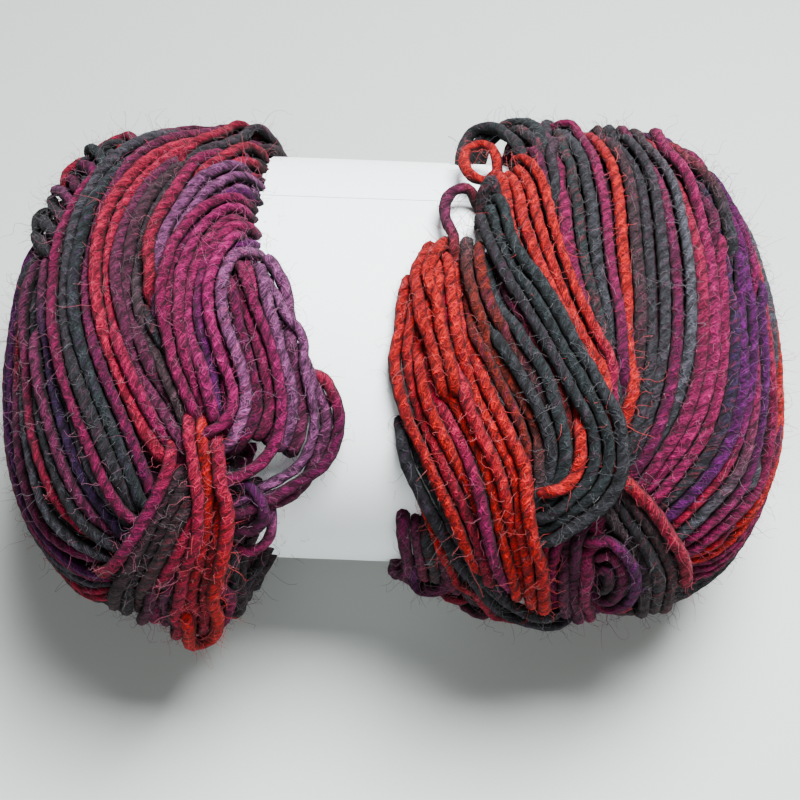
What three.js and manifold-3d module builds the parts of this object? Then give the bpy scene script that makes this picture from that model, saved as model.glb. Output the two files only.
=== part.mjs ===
// A hank of worsted yarn, pinched at its waist by a plain paper band.
//
// Millimetres, +Z up. The long axis is X, the viewer's side is -Y, and the origin is the
// middle of the footprint on the table.
//
// The yarn is one solid: a wound core (two lobes and a waist) under swept twists, each twist
// standing for two or three neighbouring strands. The twists are not drawn in space. Each is a
// short row of points on a flat "sight plane", and every point is dropped along the line from
// an eye in front of the hank until it meets the form, so that two numbers place it anywhere on
// the rounded surface.

import * as THREE from 'three';
import { mergeVertices } from 'three/addons/utils/BufferGeometryUtils.js';
import Module from 'manifold-3d';

// ---- driving dimensions ---------------------------------------------------------------------

const LOBES = [
  { centre: [-51, 0.6, 41.5], half: [36, 57, 43] },
  { centre: [45, 0.6, 41.5], half: [42, 56.5, 43] },
];
const LOBE_POWER = 2.4; // 2 is an ellipsoid, more is squarer
const BAND = { centre: [-2.5, 3.1, 43], halfX: 26, halfY: 46.5, halfZ: 37.5, yaw: -2.5 };
const BAND_POWER = 2.25;
const PAPER = 1.0; // thickness of the band
const SEAM = { from: 24, to: 60, rise: 0.9 }; // overlap of the band, degrees round from +Y
const GAP = 0.3; // air between paper and yarn
const CORE_DEPTH = 2.4; // core under the outside of the twists
const REST_SAG = 1; // the core's lowest part bulges below the form, for the table to flatten
const WAIST_DEPTH = PAPER + 0.7; // yarn under the outside of the band
const SECTION_SIDES = 7; // of a twist's oval
const STEP_LENGTH = 10; // between two sections of a twist
const SMOOTH = 0.36; // facets of the wound yarn that differ by less than this are merged
const TRIM = 0.12; // the same, once the yarn is cut back from the paper

// The eyes that look at the hank. Each has a target, the way back from it to the eye, and its own
// "across" and "up", which span the sight plane through the target.
const EYE_DISTANCE = 330;
const SIGHT_STEP = EYE_DISTANCE / 1444; // one step of the front view's sight plane
const SIGHT_MIDDLE = 400; // steps from the plane's corner to its middle, both ways
const LOW = Math.cos(THREE.MathUtils.degToRad(62)); // the front eye looks down at 62 degrees
const HIGH = Math.sin(THREE.MathUtils.degToRad(62));
const VIEWS = {
  front: { target: [1.3, -6.4, 41], back: [0, -LOW, HIGH], across: [1, 0, 0], up: [0, HIGH, LOW] },
  under: { target: [1.3, 9.6, 43], back: [0, LOW, -HIGH], across: [1, 0, 0], up: [0, -HIGH, -LOW] },
  left: { target: [-51, 0.6, 41.5], back: [-1, 0, 0], across: [0, -1, 0], up: [0, 0, 1] },
  right: { target: [45, 0.6, 41.5], back: [1, 0, 0], across: [0, 1, 0], up: [0, 0, 1] },
};

// Routes over an end of the hank slope by END_SLANT and bow away from the end's middle.
const END_SLANT = 28; // degrees
const END_REACH = 42; // from the middle of a route to where it starts
const END_OFFSET = 15; // from the middle of the end to its outer two routes
const END_BOW = 5;

function endRoute(side, mirror, until = 1) {
  const slant = THREE.MathUtils.degToRad(END_SLANT);
  return [0, 0.25, 0.5, 0.75, 1].map((step) => {
    const t = THREE.MathUtils.lerp(-1, until, step);
    const along = t * END_REACH;
    const off = side * (END_OFFSET + END_BOW * (1 - t * t));
    return [
      mirror * (along * Math.cos(slant) - off * Math.sin(slant)),
      along * Math.sin(slant) + off * Math.cos(slant),
    ];
  });
}

// Groups of twists. "first" and "last" are the outer two routes on the sight plane of "view", and
// "count" twists are spread evenly between them. In the front view a route's points are counted
// in sight steps, right and down from the plane's corner, and in the other views they are
// millimetres across and up. "wide" and "high" are the size of the oval, and "lift" is how far
// its top stands over the form.
const TWISTS = [
  // left lobe
  { name: 'left rim', view: 'left', count: 3, wide: 10, high: 6, lift: 0,
    first: [[-38, -24], [-43, -8], [-42, 8], [-34, 22], [-22, 33]],
    last: [[-52, -12], [-54, 0], [-52, 12], [-46, 22], [-36, 32]] },
  { name: 'left end', view: 'left', count: 5, wide: 9.5, high: 6, lift: 0,
    first: endRoute(-1, -1, 0.75), last: endRoute(1, -1, 0.9) },
  { name: 'left outer arcs', view: 'front', count: 2, wide: 9.5, high: 6, lift: 0.2,
    first: [[40, 230], [14, 330], [12, 430], [38, 525], [105, 570]],
    last: [[72, 208], [46, 300], [54, 400], [91, 487], [135, 536]] },
  { name: 'left inner arcs', view: 'front', count: 3, wide: 9, high: 6, lift: 0.8,
    first: [[255, 128], [128, 165], [76, 290], [105, 426], [150, 510]],
    last: [[266, 157], [185, 178], [148, 270], [160, 360], [200, 455]] },
  { name: 'left arcs below', view: 'under', count: 5, wide: 11, high: 6, lift: 0.2,
    first: [[-82, 46], [-88, 22], [-88, -2], [-82, -26], [-66, -42]],
    last: [[-33, 58], [-47, 50], [-55, 29.5], [-52, 5], [-40, -22]] },
  { name: 'left tuft below', view: 'under', count: 2, wide: 11, high: 6, lift: 1,
    first: [[-60, -44], [-52, -38], [-47, -27], [-46, -10], [-47, 8]],
    last: [[-36, -50], [-38, -40], [-38, -25], [-39, -8], [-42, 10]] },
  // left fan, over the edge of the paper
  { name: 'left fan bed', view: 'front', count: 2, wide: 13, high: 5, lift: 0.8,
    first: [[242, 190], [208, 234], [199, 312], [216, 382], [225, 452]],
    last: [[251, 242], [251, 286], [251, 348], [256, 408], [234, 470]] },
  { name: 'left fan', view: 'front', count: 4, wide: 6.5, high: 5.4, lift: 2.8,
    first: [[260, 164], [180, 197], [151, 275], [168, 350], [200, 428]],
    last: [[250, 240], [238, 273], [236, 328], [251, 380], [225, 455]] },
  { name: 'left fall', view: 'front', count: 2, wide: 5.5, high: 4.8, lift: 4,
    first: [[250, 238], [256, 290], [268, 360], [275, 415], [234, 472]],
    last: [[255, 258], [277, 315], [297, 376], [302, 425], [255, 472]] },
  { name: 'left stray loops', view: 'front', count: 2, wide: 3.6, high: 3.6, lift: 4,
    first: [[286, 370], [314, 425], [305, 465], [265, 498], [215, 514]],
    last: [[301, 370], [336, 408], [330, 446], [300, 475], [234, 498]] },
  // low on the left lobe
  { name: 'left crossing', view: 'front', count: 1, wide: 5, high: 5, lift: 2.4,
    first: [[96, 571], [125, 552], [150, 520], [166, 485], [168, 440]] },
  { name: 'left tuft', view: 'front', count: 2, wide: 9, high: 6, lift: 1.2,
    first: [[120, 597], [135, 566], [153, 536], [172, 505], [190, 472]],
    last: [[170, 625], [165, 600], [175, 575], [190, 545], [200, 515]] },
  { name: 'left drop', view: 'front', count: 3, wide: 7, high: 5.6, lift: 2,
    first: [[196, 405], [203, 455], [198, 510], [185, 570], [183, 630]],
    last: [[234, 452], [251, 496], [262, 536], [256, 582], [238, 628]] },
  // right lobe
  { name: 'right end', view: 'right', count: 5, wide: 9.5, high: 6, lift: 0,
    first: endRoute(-1, 1), last: endRoute(1, 1) },
  { name: 'right arcs', view: 'front', count: 3, wide: 9.5, high: 6, lift: 0.4,
    first: [[548, 126], [557, 195], [584, 280], [608, 360], [617, 440]],
    last: [[645, 130], [662, 215], [675, 310], [671, 400], [636, 478]] },
  { name: 'right outer arcs', view: 'front', count: 3, wide: 9.5, high: 6, lift: 0,
    first: [[671, 137], [700, 225], [713, 328], [704, 426], [654, 509]],
    last: [[715, 170], [762, 280], [779, 400], [757, 505], [690, 565]] },
  { name: 'right top rim', view: 'front', count: 1, wide: 9, high: 6, lift: 1,
    first: [[477, 144], [498, 131], [520, 131], [538, 148], [547, 198]] },
  { name: 'right arcs below', view: 'under', count: 5, wide: 11, high: 6, lift: 0.2,
    first: [[84, 46], [88, 22], [88, -2], [82, -26], [66, -42]],
    last: [[30, 58], [36, 48], [42, 27.5], [44, 5], [38, -22]] },
  { name: 'right tuft below', view: 'under', count: 2, wide: 11, high: 6, lift: 1,
    first: [[56, -46], [48, -38], [40, -27], [38, -10], [40, 8]],
    last: [[30, -50], [29, -40], [29, -25], [30, -8], [34, 10]] },
  // right fan, over the edge of the paper
  { name: 'right fan bed', view: 'front', count: 3, wide: 12, high: 5, lift: 1.6,
    first: [[466, 234], [444, 295], [439, 382], [474, 461], [505, 540]],
    last: [[518, 181], [540, 251], [575, 330], [601, 409], [592, 487]] },
  { name: 'right top fan', view: 'front', count: 2, wide: 6.5, high: 5.4, lift: 2.6,
    first: [[485, 163], [512, 210], [536, 278], [579, 350], [608, 439]],
    last: [[516, 158], [544, 210], [562, 290], [597, 361], [614, 432]] },
  { name: 'right fan', view: 'front', count: 5, wide: 6, high: 5, lift: 4,
    first: [[444, 232], [415, 300], [404, 385], [450, 470], [492, 562]],
    last: [[494, 183], [512, 275], [575, 370], [612, 459], [555, 520]] },
  { name: 'right dark bundle', view: 'front', count: 2, wide: 6, high: 5, lift: 3.6,
    first: [[413, 415], [415, 465], [446, 530], [488, 590], [545, 612]],
    last: [[461, 422], [474, 474], [490, 525], [516, 575], [553, 601]] },
  { name: 'upper eyelet', view: 'front', count: 1, wide: 3.6, high: 3.6, lift: 3.4,
    first: [[514, 181], [501, 157], [477, 153], [462, 170], [468, 190], [488, 197], [518, 194]] },
  { name: 'lower eyelet', view: 'front', count: 1, wide: 3.6, high: 3.6, lift: 4,
    first: [[509, 203], [479, 197], [453, 203], [444, 221], [450, 238], [474, 247], [501, 242]] },
  // low on the right lobe
  { name: 'right low fold', view: 'front', count: 2, wide: 7, high: 6, lift: 2,
    first: [[426, 483], [415, 536], [422, 584], [439, 612], [470, 632]],
    last: [[435, 483], [446, 536], [468, 575], [492, 601], [523, 619]] },
  { name: 'right tuft', view: 'front', count: 3, wide: 7, high: 6, lift: 1.6,
    first: [[540, 492], [540, 536], [542, 571], [540, 599], [536, 625]],
    last: [[606, 496], [595, 529], [593, 564], [597, 595], [604, 621]] },
  { name: 'right crossing', view: 'front', count: 2, wide: 7, high: 5.4, lift: 2.2,
    first: [[614, 448], [641, 494], [663, 531], [676, 564], [680, 590]],
    last: [[599, 479], [619, 518], [632, 555], [636, 590], [636, 619]] },
];

const COLOURS = { skein: 0x8a2c52, band: 0xe4edf0 };

// ---- the form -------------------------------------------------------------------------------

const wasm = await Module();
wasm.setup();

const radians = THREE.MathUtils.degToRad;
const yaw = radians(BAND.yaw);

// Roughly how far p lies outside one lobe (negative inside).
function outsideLobe(p, lobe) {
  let sum = 0;
  ['x', 'y', 'z'].forEach((axis, i) => {
    sum += Math.abs((p[axis] - lobe.centre[i]) / lobe.half[i]) ** LOBE_POWER;
  });
  return (sum ** (1 / LOBE_POWER) - 1) * Math.min(...lobe.half);
}

// The same for the band, a short squarish tube along its own X.
function outsideBand(p) {
  const dx = p.x - BAND.centre[0];
  const dy = p.y - BAND.centre[1];
  const x = dx * Math.cos(yaw) + dy * Math.sin(yaw);
  const y = dy * Math.cos(yaw) - dx * Math.sin(yaw);
  const z = p.z - BAND.centre[2];
  const sum = Math.abs(y / BAND.halfY) ** BAND_POWER + Math.abs(z / BAND.halfZ) ** BAND_POWER;
  return Math.max((sum ** (1 / BAND_POWER) - 1) * BAND.halfZ, Math.abs(x) - BAND.halfX);
}

// Lobes and band flow into one another, as the strands that run over both of them do.
function outside(p) {
  const parts = [outsideLobe(p, LOBES[0]), outsideLobe(p, LOBES[1]), outsideBand(p)];
  const blend = 4;
  return -blend * Math.log(parts.reduce((sum, d) => sum + Math.exp(-d / blend), 0));
}

function outward(p) {
  const step = 0.2;
  const n = new THREE.Vector3();
  for (const axis of ['x', 'y', 'z']) {
    const a = p.clone();
    const b = p.clone();
    a[axis] += step;
    b[axis] -= step;
    n[axis] = outside(a) - outside(b);
  }
  return n.normalize();
}

// Follow the line of sight through (across, up) to the form. A line that passes beside the form
// is bent onto it where it comes closest.
function dropOnForm(across, up, view) {
  const target = new THREE.Vector3(...view.target);
  const eye = target.clone().addScaledVector(new THREE.Vector3(...view.back), EYE_DISTANCE);
  const aim = target.clone()
    .addScaledVector(new THREE.Vector3(...view.across), across)
    .addScaledVector(new THREE.Vector3(...view.up), up);
  const along = aim.sub(eye).normalize();
  const p = eye.addScaledVector(along, EYE_DISTANCE - 90);
  const nearest = { distance: Infinity, point: p.clone() };
  for (let i = 0; i < 60; i++) {
    const d = outside(p);
    if (d < nearest.distance) {
      nearest.distance = d;
      nearest.point.copy(p);
    }
    if (d < 0.02) break;
    p.addScaledVector(along, Math.max(d * 0.7, 0.4));
  }
  for (let i = 0; i < 12; i++) {
    nearest.point.addScaledVector(outward(nearest.point), -outside(nearest.point) * 0.8);
  }
  return nearest.point;
}

// ---- twists ---------------------------------------------------------------------------------

// A curve on the form that carries an oval: one axis of the oval lies along the surface and
// the other stands on it. ExtrudeGeometry asks its path for the frames, so they are given here.
class SurfaceCurve extends THREE.CatmullRomCurve3 {
  computeFrenetFrames(segments) {
    const frames = { tangents: [], normals: [], binormals: [] };
    for (let i = 0; i <= segments; i++) {
      const tangent = this.getTangentAt(i / segments);
      const n = outward(this.getPointAt(i / segments));
      n.addScaledVector(tangent, -n.dot(tangent)).normalize();
      frames.tangents.push(tangent);
      frames.normals.push(n.clone().cross(tangent).normalize());
      frames.binormals.push(n);
    }
    return frames;
  }
}

// An oval with few sides, grown so that the sides, not the corners, keep its size.
function ovalSection(wide, high) {
  const grow = 1 / Math.cos(Math.PI / SECTION_SIDES);
  const corners = [];
  for (let i = 0; i < SECTION_SIDES; i++) {
    const a = ((i + 0.5) / SECTION_SIDES) * Math.PI * 2;
    corners.push(new THREE.Vector2(
      (Math.cos(a) * wide * grow) / 2, (Math.sin(a) * high * grow) / 2,
    ));
  }
  return new THREE.Shape(corners);
}

// A route's point in millimetres across and up its sight plane.
function onPlane([x, y], view) {
  if (view !== 'front') return new THREE.Vector2(x, y);
  return new THREE.Vector2((x - SIGHT_MIDDLE) * SIGHT_STEP, (SIGHT_MIDDLE - y) * SIGHT_STEP);
}

// One twist along a row of sight-plane points. Its ends sink into the core.
function twistGeometry(route, { view, wide, high, lift }) {
  const flat = new THREE.SplineCurve(route.map((point) => onPlane(point, view)));
  const points = [];
  for (let i = 0; i <= 20; i++) {
    const t = i / 20;
    const at = flat.getPoint(t);
    const p = dropOnForm(at.x, at.y, VIEWS[view]);
    const sink = 1 - THREE.MathUtils.smoothstep(Math.min(t, 1 - t), 0, 0.14);
    points.push(p.addScaledVector(outward(p), lift - high / 2 - sink * (lift + 2.4)));
  }
  const path = new SurfaceCurve(points, false, 'centripetal');
  return new THREE.ExtrudeGeometry(ovalSection(wide, high), {
    steps: Math.round(path.getLength() / STEP_LENGTH) + 3, bevelEnabled: false, extrudePath: path,
  });
}

// ---- solids ---------------------------------------------------------------------------------

// A closed three.js geometry as a manifold solid.
function solidOf(geometry) {
  const bare = geometry.clone();
  bare.deleteAttribute('normal');
  bare.deleteAttribute('uv');
  const merged = mergeVertices(bare, 1e-4);
  return new wasm.Manifold(new wasm.Mesh({
    numProp: 3,
    vertProperties: merged.attributes.position.array,
    triVerts: new Uint32Array(merged.index.array),
  }));
}

function lobeSolid(lobe) {
  const ball = new THREE.SphereGeometry(1, 32, 18);
  ball.rotateX(Math.PI / 2);
  const at = ball.attributes.position;
  for (let i = 0; i < at.count; i++) {
    const d = new THREE.Vector3().fromBufferAttribute(at, i);
    const size = ['x', 'y', 'z'].reduce((sum, k) => sum + Math.abs(d[k]) ** LOBE_POWER, 0);
    const r = 1 / size ** (1 / LOBE_POWER);
    at.setXYZ(i, ...['x', 'y', 'z'].map((k, j) => {
      const lowest = k === 'z' ? THREE.MathUtils.smoothstep(-d.z, 0.7, 1) : 0;
      const depth = THREE.MathUtils.lerp(CORE_DEPTH, -REST_SAG, lowest);
      return lobe.centre[j] + d[k] * r * (lobe.half[j] - depth);
    }));
  }
  return solidOf(ball);
}

// Outline of the band, shrunk by "depth": a squarish oval in its own Y and Z.
function bandOutline(depth, sides = 56, seam = false) {
  const points = [];
  for (let i = 0; i < sides; i++) {
    const a = (i / sides) * Math.PI * 2;
    const size = Math.abs(Math.cos(a)) ** BAND_POWER + Math.abs(Math.sin(a)) ** BAND_POWER;
    const r = 1 / size ** (1 / BAND_POWER);
    const degrees = (i / sides) * 360;
    const rise = seam && degrees > SEAM.from && degrees < SEAM.to ? SEAM.rise : 0;
    points.push(new THREE.Vector2(
      Math.cos(a) * r * (BAND.halfY - depth + rise),
      Math.sin(a) * r * (BAND.halfZ - depth + rise),
    ));
  }
  return points;
}

// Stretch an outline along the band's own X, then set it at the band's place.
function alongBand(outline, hole, halfX) {
  const shape = new THREE.Shape(outline);
  if (hole) shape.holes.push(new THREE.Path(hole));
  const geometry = new THREE.ExtrudeGeometry(shape, {
    depth: 2 * halfX, bevelEnabled: false, curveSegments: 1,
  });
  geometry.translate(0, 0, -halfX);
  const turn = new THREE.Matrix4().makeBasis(
    new THREE.Vector3(-Math.sin(yaw), Math.cos(yaw), 0),
    new THREE.Vector3(0, 0, 1),
    new THREE.Vector3(Math.cos(yaw), Math.sin(yaw), 0),
  );
  geometry.applyMatrix4(turn);
  geometry.translate(...BAND.centre);
  return geometry;
}

function mixRoutes(a, b, t) {
  return a.map(([x, y], i) => [x + (b[i][0] - x) * t, y + (b[i][1] - y) * t]);
}

function skeinSolid() {
  const parts = LOBES.map(lobeSolid);
  parts.push(solidOf(alongBand(bandOutline(WAIST_DEPTH), null, 40)));
  for (const group of TWISTS) {
    const { first, last = first, count } = group;
    for (let i = 0; i < count; i++) {
      const route = mixRoutes(first, last, count === 1 ? 0 : i / (count - 1));
      parts.push(solidOf(twistGeometry(route, group)));
    }
  }
  const wound = wasm.Manifold.union(parts).asOriginal().simplify(SMOOTH);
  const room = GAP + TRIM;
  const sleeve = alongBand(
    bandOutline(-room, 56, true), bandOutline(PAPER + room).reverse(), BAND.halfX + room,
  );
  const skein = wound.subtract(solidOf(sleeve)).trimByPlane([0, 0, 1], 0)
    .asOriginal().simplify(TRIM);
  // A crumb that the paper cuts off is left out: only the one large piece is the skein.
  return skein.decompose().sort((a, b) => b.volume() - a.volume())[0];
}

function bandSolid() {
  const sleeve = alongBand(
    bandOutline(0, 56, true), bandOutline(PAPER).reverse(), BAND.halfX,
  );
  return solidOf(sleeve);
}

// ---- scene graph ----------------------------------------------------------------------------

function meshOf(name, solid, colour, roughness) {
  const { vertProperties, triVerts } = solid.getMesh();
  const geometry = new THREE.BufferGeometry();
  geometry.setAttribute('position', new THREE.BufferAttribute(vertProperties, 3));
  geometry.setIndex(new THREE.BufferAttribute(triVerts, 1));
  geometry.computeVertexNormals();
  const material = new THREE.MeshStandardMaterial({ color: colour, roughness, metalness: 0 });
  const mesh = new THREE.Mesh(geometry, material);
  mesh.name = name;
  return mesh;
}

const hank = new THREE.Group();
hank.name = 'hank';
const skein = meshOf('skein', skeinSolid(), COLOURS.skein, 0.9);
const band = meshOf('band', bandSolid(), COLOURS.band, 0.7);
hank.add(skein, band);

export default hank;
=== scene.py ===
# %% [markdown]
# # A hank of worsted yarn
#
# The hank is about three hundred runs of hairy, two-ply wool, wound into two lobes and pinched at
# the waist by a plain paper band. It could be sculpted as one body with a stringy texture, but
# then no strand would pass over another. So the script lays every run as a curve on a soft
# mathematical form, lets the runs push each other apart until they lie side by side, spins yarn
# round them with Geometry Nodes, and raises a nap of fine hairs on the result.
#
# Everything is worked out in millimetres and turned into metres as it enters Blender.

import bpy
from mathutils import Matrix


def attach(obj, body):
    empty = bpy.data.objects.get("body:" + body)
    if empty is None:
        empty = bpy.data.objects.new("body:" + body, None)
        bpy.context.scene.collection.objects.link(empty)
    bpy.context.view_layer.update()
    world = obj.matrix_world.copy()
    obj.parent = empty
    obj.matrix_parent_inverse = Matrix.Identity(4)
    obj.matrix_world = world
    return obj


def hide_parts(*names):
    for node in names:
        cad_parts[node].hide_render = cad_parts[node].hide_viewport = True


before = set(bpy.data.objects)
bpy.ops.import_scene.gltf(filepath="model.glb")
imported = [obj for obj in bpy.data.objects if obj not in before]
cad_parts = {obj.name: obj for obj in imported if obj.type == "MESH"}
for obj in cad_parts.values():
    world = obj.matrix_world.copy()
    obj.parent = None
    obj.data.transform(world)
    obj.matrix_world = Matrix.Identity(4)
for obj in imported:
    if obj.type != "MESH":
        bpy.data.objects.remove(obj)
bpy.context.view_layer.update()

# %% [markdown]
# ## Named sizes
#
# One strand takes up 3.1 mm, of which its spun body is a little less and its nap the rest. Its
# two plies wind round each other once in about 7.6 mm. The lobes and the band are given by their
# centres and half sizes.

# %% Sizes in millimetres
import math

import bmesh
import bpy
import numpy as np
from mathutils import Matrix, Vector, kdtree

MM = 0.001
SEED = 41
STRAND = 3.1
SPUN = 0.88
PLY_PITCH = 7.6
SECTION_POINTS = 8
STEP = 1.2
SINK = 2.6
rng = np.random.default_rng(SEED)

LOBES = [
    {"centre": (-51.0, 0.6, 41.5), "half": (36.0, 57.0, 43.0)},
    {"centre": (45.0, 0.6, 41.5), "half": (42.0, 56.5, 43.0)},
]
LOBE_POWER = 2.4
BAND = {"centre": (-2.5, 3.1, 43.0), "half": (26.0, 46.5, 37.5), "yaw": math.radians(-2.5)}
BAND_POWER = 2.25
PAPER = 0.22
print("strand", STRAND, "mm, step", STEP, "mm")

# %% [markdown]
# ## The form
#
# A superellipsoid is a sphere whose square power is raised a little, which fattens it towards a
# box. Two of them and a short squarish drum, blended softly, give the outside of the hank. The
# function returns about how many millimetres a point lies outside, and works on whole arrays.

# %% Distance from the form
def outside_lobe(points, lobe):
    scaled = np.abs((points - lobe["centre"]) / lobe["half"]) ** LOBE_POWER
    return (scaled.sum(-1) ** (1 / LOBE_POWER) - 1) * min(lobe["half"])


def to_band(points):
    """Points in the band's own axes."""
    c, s = math.cos(BAND["yaw"]), math.sin(BAND["yaw"])
    d = points - BAND["centre"]
    return np.stack([d[..., 0] * c + d[..., 1] * s, d[..., 1] * c - d[..., 0] * s, d[..., 2]], -1)


def drum(y, z):
    """1 on the drum's own outline, more outside and less inside."""
    return np.abs(y / BAND["half"][1]) ** BAND_POWER + np.abs(z / BAND["half"][2]) ** BAND_POWER


def outside_band(points):
    x, y, z = np.moveaxis(to_band(points), -1, 0)
    half_x, _, half_z = BAND["half"]
    return np.maximum((drum(y, z) ** (1 / BAND_POWER) - 1) * half_z, np.abs(x) - half_x)


def outside(points, blend=4.0):
    parts = np.stack([outside_lobe(points, lobe) for lobe in LOBES] + [outside_band(points)])
    nearest = parts.min(0)
    return nearest - blend * np.log(np.exp(-(parts - nearest) / blend).sum(0))


def unit(v):
    return v / np.maximum(np.linalg.norm(v, axis=-1, keepdims=True), 1e-9)


def outward(points, reach=0.2):
    """The direction in which the form's surface faces."""
    steps = np.eye(3) * reach
    return unit(np.stack([outside(points + e) - outside(points - e) for e in steps], -1))


print("outside at the middle of the left lobe:", outside(np.array([[-51.0, 0.6, 41.5]])).round(1))

# %% [markdown]
# ## Eyes and sight planes
#
# A run of yarn is drawn as a few points on a flat sight plane, as if traced on glass in front of
# the hank. Each point is then dropped along the line from the eye until it meets the form, by
# stepping a little less far each time than the form is still away. Curves drawn straight on the
# form in three dimensions would be far harder to read and to change. The eye is also the camera.

# %% Drop sight points on the form
EYE_DISTANCE = 330.0
FIRST_STEP = 90.0
TILT = math.radians(62)
LOW, HIGH = math.cos(TILT), math.sin(TILT)
TARGET = np.array((1.3, -6.4, 41.0))
RIGHT, UP, BACK = np.array([(1, 0, 0), (0, HIGH, LOW), (0, -LOW, HIGH)])
EYE = TARGET + BACK * EYE_DISTANCE


def settle(points, height=0.0, rounds=10, share=0.8):
    """Points moved straight out or in until they lie at that height over the form."""
    for _ in range(rounds):
        points = points + outward(points) * (height - outside(points))[..., None] * share
    return points


def drop(sight, tries=70, share=0.7, shortest=0.4, close=0.02):
    """(across, up) points of the sight plane, on the form."""
    along = unit(TARGET + sight[:, :1] * RIGHT + sight[:, 1:] * UP - EYE)
    points = EYE + along * (EYE_DISTANCE - FIRST_STEP)
    best, found = points.copy(), np.full(len(points), np.inf)
    for _ in range(tries):
        gap = outside(points)
        closer = gap < found
        best[closer], found[closer] = points[closer], gap[closer]
        points = points + along * np.where(found > close, np.maximum(gap * share, shortest), 0)[:, None]
    return settle(best)


print("the middle of the sight plane meets the form at", drop(np.zeros((1, 2))).round(1))

# %% [markdown]
# ## Colours
#
# The wool is dyed in long runs of colour, and each run is a blend of fibres. The palette holds
# the blends by name, in plain sRGB fractions. They are turned into the linear values that a
# shader reckons with, and then drawn away from grey, as a deeper dye would be.

# %% Palette
RICH = 1.5
PALETTE = {
    "coral": (0.93, 0.25, 0.26),
    "orange": (0.95, 0.27, 0.17),
    "rust": (0.52, 0.24, 0.22),
    "rose": (0.86, 0.12, 0.31),
    "crimson": (0.74, 0.09, 0.37),
    "magenta": (0.58, 0.05, 0.38),
    "pink": (0.66, 0.17, 0.46),
    "lilac": (0.63, 0.43, 0.58),
    "plum": (0.43, 0.14, 0.32),
    "mauve": (0.45, 0.24, 0.34),
    "cocoa": (0.31, 0.25, 0.27),
    "charcoal": (0.25, 0.25, 0.27),
    "teal": (0.22, 0.25, 0.26),
    "ash": (0.38, 0.38, 0.41),
    "indigo": (0.26, 0.19, 0.32),
    "violet": (0.42, 0.17, 0.42),
}


def linear(colour):
    c = np.array(colour, float)
    return np.where(c <= 0.04045, c / 12.92, ((c + 0.055) / 1.055) ** 2.4)


def richer(colour):
    """A deeper dye of the same hue."""
    grey = colour.mean()
    return np.clip(grey + (colour - grey) * RICH, 0.002, 1)


PALETTE = {name: richer(linear(colour)) for name, colour in PALETTE.items()}
print(len(PALETTE), "blends")

# %% [markdown]
# ## The routes
#
# Each row is a family of neighbouring runs: its name, how far its outside stands over the form,
# how far it goes on before its first point and after its last, the blends of its runs, and one or
# more guide routes between which the runs are spread evenly. "crimson>coral" changes from one
# blend to the other on the way. A guide's points are counted in sight steps, right and down from
# the corner of the sight plane. One eye distance is 1444 of those steps.

# %% Sight steps
STEPS_TO_EYE = 1444
SIGHT_STEP = EYE_DISTANCE / STEPS_TO_EYE
SIGHT_MIDDLE = 400


def on_plane(guide):
    """A guide's points in millimetres across and up the sight plane."""
    return (np.array(guide, float) - SIGHT_MIDDLE) * (SIGHT_STEP, -SIGHT_STEP)


print("one sight step is", round(SIGHT_STEP, 4), "mm")

# %% [markdown]
# ### The left lobe
#
# Long arcs sweep from the top of the paper round the outside to the lower edge. Short runs stand
# on the rim above them, and a few cross over at the bottom, where the lobe is gathered. The rows
# go from the outermost family to the innermost, and a higher number lets a family lie on top.

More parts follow.
